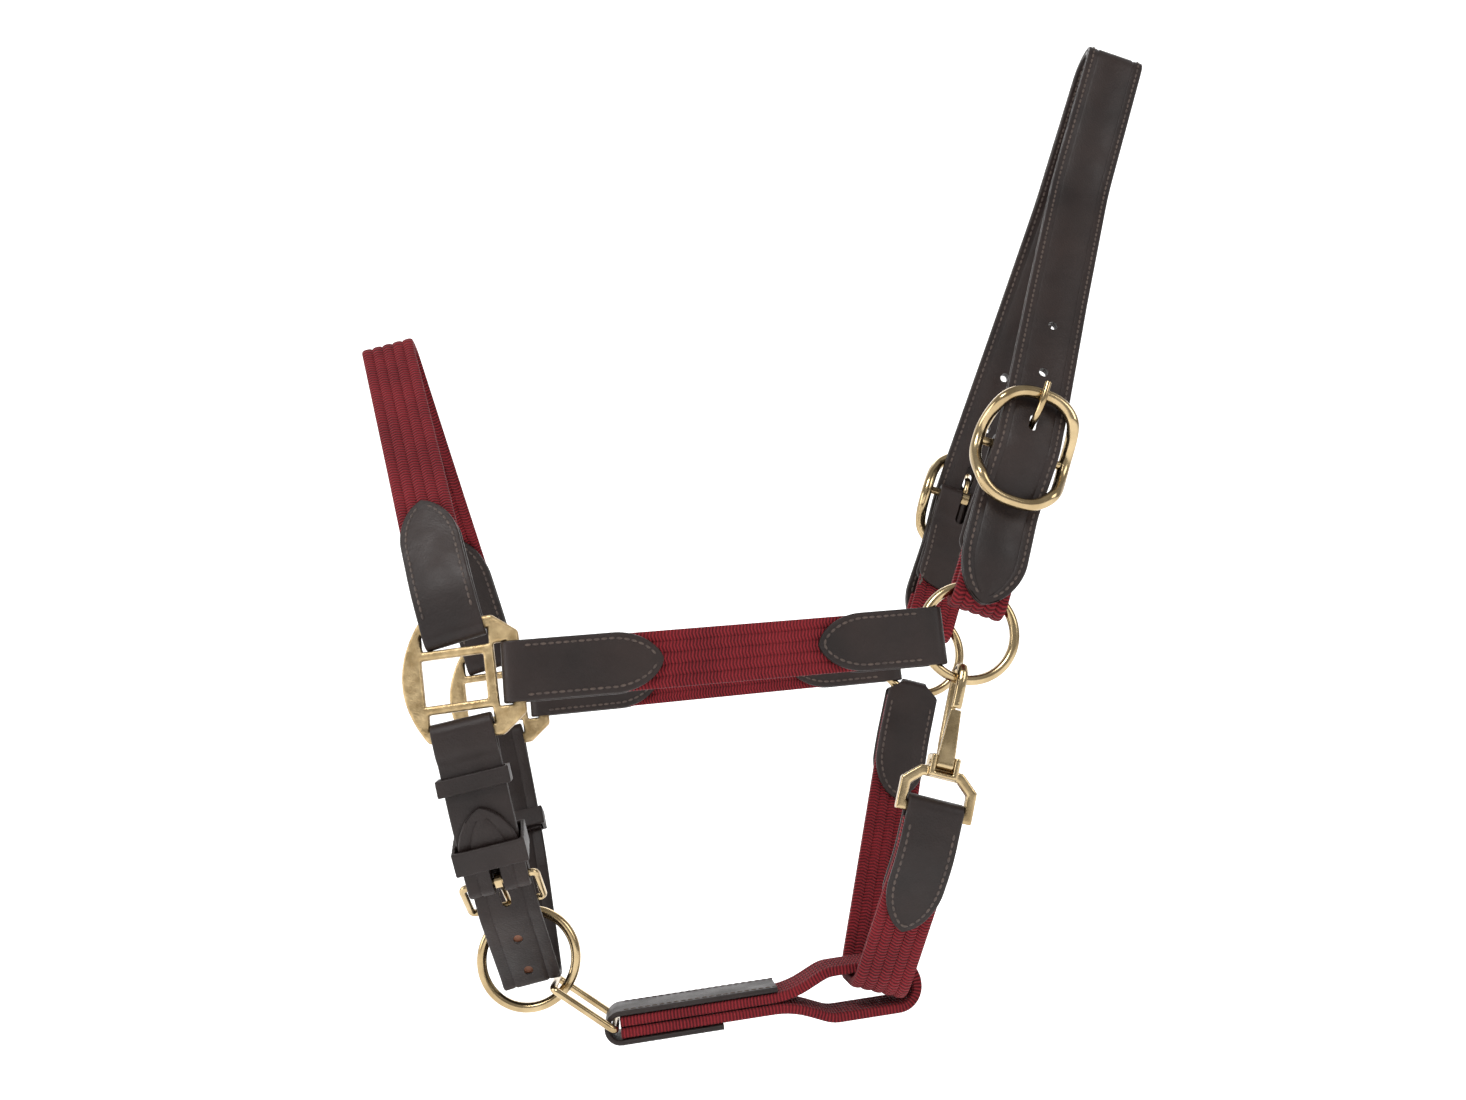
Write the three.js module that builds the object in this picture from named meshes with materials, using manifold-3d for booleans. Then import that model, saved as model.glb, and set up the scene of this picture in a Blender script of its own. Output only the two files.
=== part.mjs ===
// A full-size hinged headcollar: stitched leather, corded webbing and brass fittings.
// Millimetres, +Z up. The nose points to -X, the poll to +X, and Y runs across the head, near side at -Y.
// The origin is the inner top of the crown strap's fold, where the headcollar hangs.
import * as THREE from "three";
import { mergeVertices } from "three/addons/utils/BufferGeometryUtils.js";
import Module from "manifold-3d";

const wasm = await Module();
wasm.setup();

// ---- driving dimensions ----
const LEATHER = 2.2; // thickness of one layer
const LINING = 2.0; // thickness of each of the crown strap's two layers
const WEBBING = 4.4; // thickness of the corded webbing
const GAP = 0.3; // air between pieces that touch
const CROWN_WIDTH = 29;
const STRAP_WIDTH = 25;
const WEBBING_WIDTH = 24;
const HALF_CORE = 2.7; // half of the space between the two legs of a chape
const RING_RADIUS = 20.5; // to the middle of the wire
const RING_WIRE = 2.3; // radius of the wire
const RING_Y = 46;
const RING_FOLD = 15.9; // from the ring's middle to the middle of a strap's fold inside its bow
const RING_THROAT_FOLD = 19.4; // the same for the throat strap's narrow end
const SQUARE_Y = 62;
const RING = new THREE.Vector2(-98.8, -304.4); // (x, z) of the cheek rings
const SQUARE = new THREE.Vector2(-314.5, -327); // (x, z) of the squares
const SQUARE_TILT = THREE.MathUtils.degToRad(8.3);
const SQUARE_THICKNESS = 4;
const SQUARE_BAR = 22; // from the square's middle to its top and bottom bars
const SQUARE_CHEEK_BAR = 23.6; // from the square's middle to the bar of the cheek strap
const BAR_HALF = 2.1;
const NOSE_TOP = new THREE.Vector2(-362.8, -164.4);
const CHIN_BOTTOM = new THREE.Vector2(-285.5, -455);
const THROAT_BOTTOM = new THREE.Vector2(-136, -459);
const CROWN_HEADING = THREE.MathUtils.degToRad(-108);
const CROWN_TIP = 308;
const CROWN_BUCKLE = 235;
const CROWN_HOLES = [168, 195];
const CROWN_TONGUE_HOLE = 221.8;
const BUCKLE_BAR_Y = 48.2;
const BUCKLE_END_Y = 57.4;
const BUCKLE_LENGTH = 25.7; // half, to the middle of the wire
const BUCKLE_WIDTH = 20.2; // half, to the middle of the wire
const BUCKLE_WIRE = 2.7;
const BUCKLE_BAR = 2;
const CHIN_HEEL = new THREE.Vector2(60, 47); // (down the chin strap, out from the middle)
const CHIN_END = new THREE.Vector2(71.5, 31.9);
const CHIN_WIRE = 1.5;
const CHIN_BUCKLE_HALF = 15.2;
const CHIN_RING = 98.6; // down the chin strap
const CHIN_HOLES = [87, 102];
const CHIN_TIP = 30; // down the chin strap to the tip of its long half
const TONGUE_WIRE = 1.5;
const TONGUE_COLLAR = 4; // outer radius
const TONGUE_COLLAR_HALF = 1.7; // half its length on the bar
const CHIN_TONGUE_WIRE = 1.1;
const CHIN_COLLAR = 3.2;
const CHIN_COLLAR_HALF = 1.4;
const CROWN_HOLE = 2.2; // radius of a punched hole
const CHIN_HOLE = 2;
const STRAP_POINT = 17; // length of a strap's pointed end
const CROWN_POINT = 20;
const BUCKLE_POINT = 8;
const CHEEK_REAR_TIP = 68; // from the ring to the tip of the cheek strap's rear chape
const CHEEK_FRONT_TIP = 60; // from the square's bar to the tip of the front chape
const NOSE_CHAPE_TIP = 58;
const KEEPER_WALL = 1.6;
const CLEAR = 150; // further out than every strap, for a cut right through
const LINK_WIRE = 1.6;
const LINK_HALF = 14.6;
const EYE_BAR = 78; // down the throat strap
const EYE_Y = 48;
const GATE_PIVOT = new THREE.Vector2(58, -50);
const JAW_LOOP = new THREE.Vector2(-139.5, -457.6);
const JAW_END = new THREE.Vector2(-249.3, -472.3); // where the link hangs in the jaw strap
const JAW_BAR = 111; // along the jaw strap from its loop to the link

// ---- materials ----
const finish = (color, roughness, metalness) => () =>
  new THREE.MeshStandardMaterial({ color, roughness, metalness });
const leather = finish(0x2e2624, 0.45, 0);
const burgundy = finish(0x7c2026, 0.85, 0);
const brass = finish(0xcdb982, 0.25, 1);
const castBrass = finish(0xbea06e, 0.5, 1);

// ---- solids ----
function toSolid(geometry) {
  const plain = geometry.index ? geometry.toNonIndexed() : geometry.clone();
  plain.deleteAttribute("normal");
  plain.deleteAttribute("uv");
  const merged = mergeVertices(plain, 1e-4);
  return new wasm.Manifold(
    new wasm.Mesh({
      numProp: 3,
      vertProperties: merged.attributes.position.array,
      triVerts: new Uint32Array(merged.index.array),
    }),
  );
}

function toGeometry(solid) {
  const made = solid.getMesh();
  const geometry = new THREE.BufferGeometry();
  geometry.setAttribute("position", new THREE.BufferAttribute(made.vertProperties, 3));
  geometry.setIndex(new THREE.BufferAttribute(made.triVerts, 1));
  return geometry.toNonIndexed();
}

const join = (...parts) => parts.map(toSolid).reduce((a, b) => a.add(b));
const cut = (solid, ...tools) => tools.map(toSolid).reduce((a, b) => a.subtract(b), solid);

// ---- routes: a line of (along, out) points with rounded corners, each corner [along, out, radius] ----
function route(corners) {
  const points = [];
  corners.forEach(([x, y, radius], i) => {
    const corner = new THREE.Vector2(x, y);
    if (!radius) {
      points.push(corner);
      return;
    }
    const before = new THREE.Vector2(corners[i - 1][0], corners[i - 1][1]).sub(corner);
    const after = new THREE.Vector2(corners[i + 1][0], corners[i + 1][1]).sub(corner);
    const room = Math.min(before.length(), after.length()) * 0.498;
    before.normalize();
    after.normalize();
    const half = Math.acos(THREE.MathUtils.clamp(before.dot(after), -1, 1)) / 2;
    const reach = Math.min(radius / Math.tan(half), room);
    const centre = before.clone().add(after).normalize();
    centre.multiplyScalar(reach / Math.cos(half)).add(corner);
    const from = before.multiplyScalar(reach).add(corner).sub(centre);
    const to = after.multiplyScalar(reach).add(corner).sub(centre);
    const turn = Math.atan2(from.cross(to), from.dot(to));
    const steps = Math.max(3, Math.ceil(Math.abs(turn) / (Math.PI / 9)));
    for (let k = 0; k <= steps; k++) {
      points.push(from.clone().rotateAround(new THREE.Vector2(), (turn * k) / steps).add(centre));
    }
  });
  return points;
}

// The route moved to the left of its direction, by a distance or by a function of the length so far.
function beside(points, distance) {
  let length = 0;
  return points.map((p, i) => {
    length += i ? p.distanceTo(points[i - 1]) : 0;
    const aside = typeof distance === "function" ? distance(length) : distance;
    const a = points[Math.max(0, i - 1)];
    const b = points[Math.min(points.length - 1, i + 1)];
    const along = b.clone().sub(a).normalize();
    return new THREE.Vector2(p.x - along.y * aside, p.y + along.x * aside);
  });
}

// The first stretch of a route, up to a length.
function start(points, length) {
  const kept = [points[0]];
  let left = length;
  for (let i = 1; i < points.length; i++) {
    const step = points[i].distanceTo(points[i - 1]);
    if (step >= left) {
      kept.push(points[i - 1].clone().lerp(points[i], left / step));
      break;
    }
    kept.push(points[i]);
    left -= step;
  }
  return kept;
}

// The same route with more points on it, none further apart than a step.
function dense(points, step) {
  const more = [points[0]];
  points.slice(1).forEach((p, i) => {
    const pieces = Math.ceil(p.distanceTo(points[i]) / step);
    for (let k = 1; k <= pieces; k++) more.push(points[i].clone().lerp(p, k / pieces));
  });
  return more;
}

// A line that folds round a bar at the start of a route and follows both of its sides.
function fold(points, half, reach, otherReach = reach) {
  const near = beside(start(points, reach), half);
  const far = beside(start(points, otherReach), -half);
  const along = points[1].clone().sub(points[0]).normalize();
  const back = along.clone().negate();
  const arc = [];
  for (let k = 1; k < 8; k++) {
    const turn = (Math.PI * k) / 8;
    const side = new THREE.Vector2(-along.y, along.x).multiplyScalar(half * Math.cos(turn));
    arc.push(points[0].clone().add(side).addScaledVector(back, half * Math.sin(turn)));
  }
  return [...near.reverse(), ...arc, ...far];
}

const outline = (points) => new THREE.Shape(points);

// A strip whose edge-on outline follows a route: local X along, Y out, Z across the strip.
function strip(points, thickness, width, offset = 0) {
  const left = beside(points, offset + thickness / 2);
  const right = beside(points, offset - thickness / 2);
  const shape = outline([...left, ...right.reverse()]);
  const made = new THREE.ExtrudeGeometry(shape, { depth: width, bevelEnabled: false });
  return made.translate(0, 0, -width / 2);
}

// A prism through the whole thickness, from an outline of (along, across) points.
function through(points, low = -CLEAR, high = CLEAR) {
  const settings = { depth: high - low, bevelEnabled: false, curveSegments: 6 };
  const made = new THREE.ExtrudeGeometry(outline(points), settings);
  return made.rotateX(Math.PI / 2).translate(0, high, 0);
}

// The (along, across) outline of a strip with a rounded point at its end.
function pointed(from, tip, width, point = STRAP_POINT) {
  const half = width / 2 + 1;
  const way = Math.sign(tip - from);
  const edge = [];
  for (let k = -6; k <= 6; k++) {
    const across = (k / 6) * half;
    edge.push(new THREE.Vector2(tip - way * point * Math.abs(k / 6) ** 1.7, across));
  }
  return [new THREE.Vector2(from, -half), ...edge, new THREE.Vector2(from, half)];
}

function round(x, radius, stretch = 0, low = -CLEAR, high = CLEAR) {
  const points = [];
  for (let k = 0; k < 10; k++) {
    const turn = (Math.PI * (k + 0.5)) / 5;
    const along = radius * Math.cos(turn) + Math.sign(Math.cos(turn)) * stretch;
    points.push(new THREE.Vector2(x + along, radius * Math.sin(turn)));
  }
  return through(points, low, high);
}

const at = (along, out, across = 0) => new THREE.Vector3(along, out, across);

// A straight wire between two points.
function rod(a, b, radius, sides = 8) {
  const made = new THREE.CylinderGeometry(radius, radius, a.distanceTo(b), sides);
  const turn = new THREE.Quaternion();
  turn.setFromUnitVectors(new THREE.Vector3(0, 1, 0), b.clone().sub(a).normalize());
  const middle = a.clone().lerp(b, 0.5);
  return made.applyQuaternion(turn).translate(middle.x, middle.y, middle.z);
}

// A closed loop of wire through its corners.
function wireLoop(corners, radius) {
  const bars = corners.map((c, i) => rod(c, corners[(i + 1) % corners.length], radius));
  const knees = corners.map((c) => {
    const knee = new THREE.SphereGeometry(radius, 8, 6);
    return knee.translate(c.x, c.y, c.z);
  });
  return join(...bars, ...knees);
}

// A bent wire: a round section carried along a smooth line.
function bentWire(points, radius, steps = 10) {
  const section = new THREE.Shape().absarc(0, 0, radius, 0, 2 * Math.PI);
  const path = new THREE.CatmullRomCurve3(points);
  return new THREE.ExtrudeGeometry(section, { extrudePath: path, steps, curveSegments: 4 });
}

// ---- assembly ----
const headcollar = new THREE.Group();

// A frame with local X along a heading in the XZ plane, Y across the head and Z across the strap.
function frameAt(origin, heading) {
  const group = new THREE.Group();
  group.position.set(origin.x, 0, origin.y);
  group.rotation.y = -heading;
  headcollar.add(group);
  return group;
}

function frameTowards(from, to) {
  const way = to.clone().sub(from);
  const heading = Math.atan2(way.y, way.x);
  return { group: frameAt(from, heading), heading, length: way.length() };
}

function piece(parent, name, shape, material) {
  const geometry = shape.isBufferGeometry ? shape : toGeometry(shape);
  geometry.computeVertexNormals();
  const mesh = new THREE.Mesh(geometry, material());
  mesh.name = name;
  parent.add(mesh);
  return mesh;
}

// A leather end folded round a bar, with both legs cut to the same rounded point.
function chape(points, reach, width, tip, half = HALF_CORE) {
  const folded = strip(fold(points, half + LEATHER / 2, reach + 12), LEATHER, width);
  const base = points[0].x - Math.sign(tip - points[0].x) * 30;
  return toSolid(folded).intersect(toSolid(through(pointed(base, tip, width))));
}

// How far past a square's bar a fold's middle lies, so that a strap at a slant to the bar clears it.
function past(heading, barNormal) {
  const slant = Math.abs(Math.sin(heading - barNormal));
  return BAR_HALF + GAP + 0.7 + (STRAP_WIDTH / 2) * slant - HALF_CORE;
}

const turned = (x, z) => new THREE.Vector2(x, z).rotateAround(new THREE.Vector2(), SQUARE_TILT);
const noseBar = SQUARE.clone().add(turned(0, SQUARE_BAR));
const chinBar = SQUARE.clone().add(turned(0, -SQUARE_BAR));
const cheekBar = SQUARE.clone().add(turned(SQUARE_CHEEK_BAR, 0));

// The square: a curved front rim, a window in the middle and a slotted bar on each of the other sides.
function squareSolid() {
  const body = new THREE.Shape();
  body.moveTo(-13.5, -SQUARE_BAR - BAR_HALF);
  body.lineTo(16, -SQUARE_BAR - BAR_HALF);
  body.lineTo(SQUARE_CHEEK_BAR + BAR_HALF, -16.5);
  body.lineTo(SQUARE_CHEEK_BAR + BAR_HALF, 16.5);
  body.lineTo(16, SQUARE_BAR + BAR_HALF);
  body.lineTo(-13.5, SQUARE_BAR + BAR_HALF);
  body.quadraticCurveTo(-30, 0, -13.5, -SQUARE_BAR - BAR_HALF);
  const slot = (x0, z0, x1, z1) => {
    const hole = new THREE.Path();
    hole.moveTo(x0, z0).lineTo(x0, z1).lineTo(x1, z1).lineTo(x1, z0).closePath();
    body.holes.push(hole);
  };
  const slotFrom = 12.5;
  const slotTo = SQUARE_BAR - BAR_HALF;
  slot(-13.4, slotFrom, 14.4, slotTo);
  slot(-13.2, -slotTo, 13.2, -slotFrom);
  slot(15.2, -13.2, SQUARE_CHEEK_BAR - BAR_HALF, 13.2);
  slot(-14.2, -9.6, 11.6, 9.6);
  const settings = { depth: SQUARE_THICKNESS, bevelEnabled: false, curveSegments: 14 };
  const made = new THREE.ExtrudeGeometry(body, settings);
  return made.translate(0, 0, -SQUARE_THICKNESS / 2).rotateX(Math.PI / 2);
}

const torus = (wire) => new THREE.TorusGeometry(RING_RADIUS, wire, 8, 30).rotateX(Math.PI / 2);

// The oval frame of a crown buckle, a round wire on a rounded oblong whose two ends are bowed outwards.
function buckleOval(side) {
  const oval = new THREE.TorusGeometry(1, 0.5, 8, 30);
  const spot = oval.attributes.position;
  const swell = (value) => Math.sign(value) * Math.abs(value) ** 0.72;
  const middle = (turn) =>
    new THREE.Vector2(BUCKLE_LENGTH * swell(Math.cos(turn)), -BUCKLE_WIDTH * swell(Math.sin(turn)));
  for (let i = 0; i < spot.count; i++) {
    const turn = Math.atan2(spot.getY(i), spot.getX(i));
    const outward = (Math.hypot(spot.getX(i), spot.getY(i)) - 1) * 2 * BUCKLE_WIRE;
    const rise = spot.getZ(i) * 2 * BUCKLE_WIRE;
    const bow = Math.sin((Math.PI / 2) * Math.min(1, Math.abs(Math.cos(turn)) / 0.62));
    const along = middle(turn + 0.02).sub(middle(turn - 0.02)).normalize();
    const place = middle(turn).add(new THREE.Vector2(-along.y, along.x).multiplyScalar(outward));
    const out = BUCKLE_BAR_Y + (BUCKLE_END_Y - BUCKLE_BAR_Y) * bow;
    spot.setXYZ(i, CROWN_BUCKLE + place.x, side * out + rise, place.y);
  }
  return oval;
}

// ---- crown strap: two layers of leather from the near tip over the poll to the far tip ----
const crown = frameAt(new THREE.Vector2(0, 0), CROWN_HEADING);
const crownSide = [
  [CROWN_TIP, 55.9],
  [290, 55.9, 30],
  [262, 50, 22],
  [CROWN_BUCKLE, 57, 18],
  [208, 50, 22],
  [150, 32, 90],
  [80, 13, 90],
  [-LINING - 0.15, 9, 8.5],
];
const mirrored = (corners) => corners.map(([x, y, radius]) => [x, -y, radius]);
const crownLine = route([...mirrored(crownSide), ...[...crownSide].reverse()]);

function crownLayer(offset) {
  const whole = toSolid(strip(crownLine, LINING, CROWN_WIDTH, offset));
  const shaped = whole.intersect(toSolid(through(pointed(-30, CROWN_TIP, CROWN_WIDTH, CROWN_POINT))));
  const holes = CROWN_HOLES.map((s) => round(s, CROWN_HOLE));
  return cut(shaped, ...holes, round(CROWN_TONGUE_HOLE, 2.6, 4.6));
}
const crownStep = (LINING + GAP) / 2;
piece(crown, "crown_strap", crownLayer(crownStep), leather);
piece(crown, "crown_lining", crownLayer(-crownStep), leather);

for (const [side, y] of [["near", -1], ["far", 1]]) {
  // Oval buckle: bowed so that its ends stand out over the strap and its bar lies behind it.
  const onBar = (across) => at(CROWN_BUCKLE, y * BUCKLE_BAR_Y, across);
  const bar = rod(onBar(-BUCKLE_WIDTH), onBar(BUCKLE_WIDTH), BUCKLE_BAR);
  piece(crown, `${side}_crown_buckle`, join(buckleOval(y), bar), brass);

  // Tongue: a collar on the bar and a bent prong through the strap, resting on the frame's upper end.
  const prong = [[235, 51], [229, 50.6], [223.5, 52.4], [219.5, 57.6], [214, 61.4], [205, 62]];
  const collar = rod(onBar(-TONGUE_COLLAR_HALF), onBar(TONGUE_COLLAR_HALF), TONGUE_COLLAR, 12);
  const bore = rod(onBar(-3), onBar(3), BUCKLE_BAR + GAP, 12);
  const prongLine = prong.map(([x, out]) => at(x, y * out));
  const tongue = cut(join(collar, bentWire(prongLine, TONGUE_WIRE)), bore);
  piece(crown, `${side}_crown_tongue`, tongue, brass);

  // Short strap between the buckle and the ring: leather over the webbing that holds the ring.
  const chapeLine = route(
    [
      [287, 45.8],
      [258, 45.8, 12],
      [239, 51.6, 8],
      [231.6, 51.6, 3.39],
      [231.6, 44.8, 3.39],
      [249, 44.8, 15],
      [268, 38.6, 15],
      [287, 38.6],
    ].map(([x, out, radius]) => [x, y * out, radius]),
  );
  const cover = toSolid(strip(chapeLine, LEATHER, CROWN_WIDTH - 1.5)).intersect(
    toSolid(through(pointed(220, 287, CROWN_WIDTH - 1.5, BUCKLE_POINT))),
  );
  const room = round(CROWN_BUCKLE, 2.4, 12);
  piece(crown, `${side}_buckle_chape`, cut(cover, room), leather);
  const webbingLine = route(
    [
      [290.5, 50.9],
      [308.9, 50.9, 4.89],
      [308.9, 41.1, 4.89],
      [297, 41.1, 20],
      [286, 42.2, 20],
      [273, 42.2],
    ].map(([x, out, radius]) => [x, y * out, radius]),
  );
  piece(crown, `${side}_ring_webbing`, strip(webbingLine, WEBBING, WEBBING_WIDTH), burgundy);

  // Cheek ring.
  const ring = piece(headcollar, `${side}_cheek_ring`, torus(RING_WIRE), brass);
  ring.position.set(RING.x, y * RING_Y, RING.y);

  // Square.
  const square = piece(headcollar, `${side}_square`, squareSolid(), castBrass);
  square.position.set(SQUARE.x, y * SQUARE_Y, SQUARE.y);
  square.rotation.y = -SQUARE_TILT;

  // Cheek strap: webbing with a leather end at the square and another at the ring.
  const cheekSpan = cheekBar.clone().sub(RING);
  const cheek = frameAt(RING, Math.atan2(cheekSpan.y, cheekSpan.x));
  const slant = new THREE.Group();
  const lean = Math.atan2(SQUARE_Y - RING_Y, cheekSpan.length() - RING_FOLD);
  slant.position.y = y * (RING_Y - RING_FOLD * Math.tan(lean));
  slant.rotation.z = y * lean;
  cheek.add(slant);
  const long = cheekSpan.length() / Math.cos(lean);
  const deep = past(cheekSpan.angle(), SQUARE_TILT + Math.PI);
  const fromRing = [new THREE.Vector2(RING_FOLD, 0), new THREE.Vector2(90, 0)];
  const fromSquare = [new THREE.Vector2(long + deep, 0), new THREE.Vector2(90, 0)];
  piece(slant, `${side}_cheek_rear_chape`, chape(fromRing, 52, STRAP_WIDTH, CHEEK_REAR_TIP), leather);
  const front = chape(fromSquare, 64, STRAP_WIDTH, long - CHEEK_FRONT_TIP);
  piece(slant, `${side}_cheek_front_chape`, front, leather);
  const core = [new THREE.Vector2(26, 0), new THREE.Vector2(long - 7, 0)];
  piece(slant, `${side}_cheek_webbing`, strip(core, WEBBING, WEBBING_WIDTH), burgundy);
}

// ---- nose strap ----
const nose = frameTowards(NOSE_TOP, noseBar);
const noseDeep = past(nose.heading, SQUARE_TILT + Math.PI / 2);
const noseSide = [
  [nose.length + noseDeep, SQUARE_Y],
  [nose.length - 16, 60.6, 40],
  [75, 36, 130],
  [WEBBING / 2, 6.5, 5.5],
];
const noseLine = route([...mirrored(noseSide), ...[...noseSide].reverse()]);
const noseEnd = nose.length - 6.5;
const noseCore = toSolid(strip(noseLine, WEBBING, WEBBING_WIDTH)).intersect(
  toSolid(
    through([
      new THREE.Vector2(-20, -20),
      new THREE.Vector2(noseEnd, -20),
      new THREE.Vector2(noseEnd, 20),
      new THREE.Vector2(-20, 20),
    ]),
  ),
);
piece(nose.group, "nose_webbing", noseCore, burgundy);
for (const [side, line] of [["near", noseLine], ["far", [...noseLine].reverse()]]) {
  const tip = nose.length - NOSE_CHAPE_TIP;
  piece(nose.group, `${side}_nose_chape`, chape(line, 62, STRAP_WIDTH, tip), leather);
}

// ---- chin strap ----
const chin = frameTowards(chinBar, CHIN_BOTTOM);
const chinDeep = past(chin.heading, SQUARE_TILT + Math.PI / 2);
const chinCentre = route([
  [-chinDeep, -SQUARE_Y],
  [33, -58, 60],
  [CHIN_HEEL.x, -CHIN_HEEL.y],
]);
const heelLine = [...chinCentre].reverse();

// Near side, upper half: a strap folded round the square's lower bar, held in the buckle's chape.
const upperLine = dense(start(chinCentre, 57), 3);
const spread = HALF_CORE + LEATHER / 2;
const closing = (way) => (length) => way * (length < 10 ? spread : LEATHER / 2 + GAP / 2);
const barFold = fold(start(chinCentre, 5), spread, 4).slice(1, -1);
const legs = [
  ...beside(upperLine, closing(1)).slice(1).reverse(),
  ...barFold,
  ...beside(upperLine, closing(-1)).slice(1),
];
piece(chin.group, "near_chin_strap", strip(legs, LEATHER, STRAP_WIDTH), leather);
const chinFold = chape(heelLine, 34, STRAP_WIDTH, 30);
piece(chin.group, "near_chin_chape", cut(chinFold, round(61, 2.2, 6, -CLEAR, 0)), leather);

// Buckle on the chape's lower end, its prong facing the chin.
const buckleCorners = [CHIN_HEEL, CHIN_END].flatMap((p, i) => {
  const across = i ? CHIN_BUCKLE_HALF : -CHIN_BUCKLE_HALF;
  return [at(p.x, -p.y, across), at(p.x, -p.y, -across)];
});
piece(chin.group, "chin_buckle", wireLoop(buckleCorners, CHIN_WIRE), brass);
const heel = (across) => at(CHIN_HEEL.x, -CHIN_HEEL.y, across);
const chinProng = [at(60.6, -44.4), at(62.6, -40.6), at(65.6, -35.2), at(68.6, -30.4), at(70.6, -28.2)];
const chinTongue = cut(
  join(
    rod(heel(-CHIN_COLLAR_HALF), heel(CHIN_COLLAR_HALF), CHIN_COLLAR, 12),
    bentWire(chinProng, CHIN_TONGUE_WIRE),
  ),
  rod(heel(-3), heel(3), CHIN_WIRE + GAP, 12),
);
piece(chin.group, "chin_tongue", chinTongue, brass);

// Long half: folded round the far square's bar, under the chin ring's bow and up through the buckle.
const chinLine = route([
  [28, -50.2],
  [40, -47.3, 40],
  [57.5, -40.6, 25],
  [74.2, -34.4, 20],
  [103, -8, 60],
  [chin.length - 1.4, -5.4, 5],
  [chin.length - 1.4, 5.4, 5],
  [100, 13, 60],
  [60, 47, 60],
  [33, 59.2, 60],
  [12, 63, 20],
  [3, 65.8, 6],
  [-HALF_CORE - LEATHER / 2 - chinDeep, 65.8, 3.8],
  [-HALF_CORE - LEATHER / 2 - chinDeep, 58.2, 3.8],
  [3, 58.2, 6],
  [14, 60.2, 20],
  [33, 56.3, 60],
  [46, 50.6],
]);
const chinWhole = toSolid(strip(chinLine, LEATHER, STRAP_WIDTH));
const nearHalf = through(pointed(CLEAR, CHIN_TIP, STRAP_WIDTH), -CLEAR, -20);
const farHalf = through(
  [[-30, -20], [CLEAR, -20], [CLEAR, 20], [-30, 20]].map(([x, z]) => new THREE.Vector2(x, z)),
  -25,
  CLEAR,
);
const chinShaped = chinWhole.intersect(toSolid(nearHalf).add(toSolid(farHalf)));
const chinHoles = CHIN_HOLES.map((s) => round(s, CHIN_HOLE, 0, -CLEAR, -1));
const chinStrap = cut(chinShaped, ...chinHoles, round(65, CHIN_HOLE, 5, -CLEAR, -1));
piece(chin.group, "chin_strap", chinStrap, leather);

// Keepers: flat loops round the layers of strap, each across the strap at a place and a lean.
function keeper(name, along, out, lean, halfThick, length, shift = 0) {
  const halfWidth = STRAP_WIDTH / 2 + GAP + 0.3;
  const box = (thick, width, long) => new THREE.BoxGeometry(long, 2 * thick, 2 * width);
  const outer = box(halfThick + KEEPER_WALL, halfWidth + KEEPER_WALL, length);
  const inner = box(halfThick, halfWidth, length + 4);
  const made = piece(chin.group, name, cut(toSolid(outer), inner), leather);
  made.position.set(along, out, 0);
  made.rotation.z = lean;
  made.translateY(shift);
}
keeper("chin_loop_keeper", 47.5, -52.4, Math.atan2(11, 27), 8, 10, 2.2);
keeper("chin_fixed_keeper", 19, -59.8, Math.atan2(4, 33), 3.4, 7);
keeper("far_chin_keeper", 41.5, 54.6, -Math.atan2(11, 27), 3.5, 9);

// Chin ring: the strap's fold passes through it.
const chinRing = piece(chin.group, "chin_ring", torus(RING_WIRE), brass);
chinRing.position.set(CHIN_RING, 0, 0);

// ---- throat strap ----
const throat = frameTowards(RING, THROAT_BOTTOM);
const throatBase = throat.length - WEBBING / 2;
const throatLine = route([
  [EYE_BAR - 0.6, -EYE_Y],
  [EYE_BAR + 18, -EYE_Y + 1.2, 30],
  [throatBase, -17, 12],
  [throatBase, 17, 12],
  [44, RING_Y - 0.6, 40],
  [RING_THROAT_FOLD, RING_Y],
]);
const backwards = [...throatLine].reverse();
const inside = (points, from, length) => {
  const tail = start([...start(points, length)].reverse(), length - from);
  return tail.reverse();
};
const total = throatLine.slice(1).reduce((sum, p, i) => sum + p.distanceTo(throatLine[i]), 0);
const throatCore = inside(throatLine, 5, total - 10);
piece(throat.group, "throat_webbing", strip(throatCore, WEBBING, WEBBING_WIDTH), burgundy);
piece(throat.group, "near_throat_chape", chape(throatLine, 56, WEBBING_WIDTH, 129), leather);
const narrowEnd = through(
  [[8, 6.2], [16.6, 6.2], [21.5, 13], [200, 13], [200, -13], [21.5, -13], [16.6, -6.2], [8, -6.2]].map(
    ([x, z]) => new THREE.Vector2(x, z),
  ),
);
const farThroat = chape(backwards, 58, WEBBING_WIDTH + 1, 74).intersect(toSolid(narrowEnd));
piece(throat.group, "far_throat_chape", farThroat, leather);

// Snap hook: strap eye, base with two lugs and a hook over the ring.
const eye = new THREE.Shape(
  [[60, -9], [60, 9], [66.5, 16.2], [79.9, 16.2], [79.9, -16.2], [66.5, -16.2]].map(
    ([s, w]) => new THREE.Vector2(s, w),
  ),
);
eye.holes.push(
  new THREE.Path(
    [[64, -7.6], [68.6, -12.6], [76.1, -12.6], [76.1, 12.6], [68.6, 12.6], [64, 7.6]].map(
      ([s, w]) => new THREE.Vector2(s, w),
    ),
  ),
);
const eyeThick = 3.8;
const eyePlate = new THREE.ExtrudeGeometry(eye, { depth: eyeThick, bevelEnabled: false });
eyePlate.rotateX(Math.PI / 2).translate(0, -EYE_Y + eyeThick / 2, 0);
const block = new THREE.BoxGeometry(9, 9.4, 12).translate(59, -48.3, 0);
const lugGap = new THREE.BoxGeometry(12.6, 7.4, 8.2).translate(55.6, -50.6, 0);
const pivot = (across) => at(GATE_PIVOT.x, GATE_PIVOT.y, across);
const pinHole = rod(pivot(-8), pivot(8), 1.25);
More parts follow.
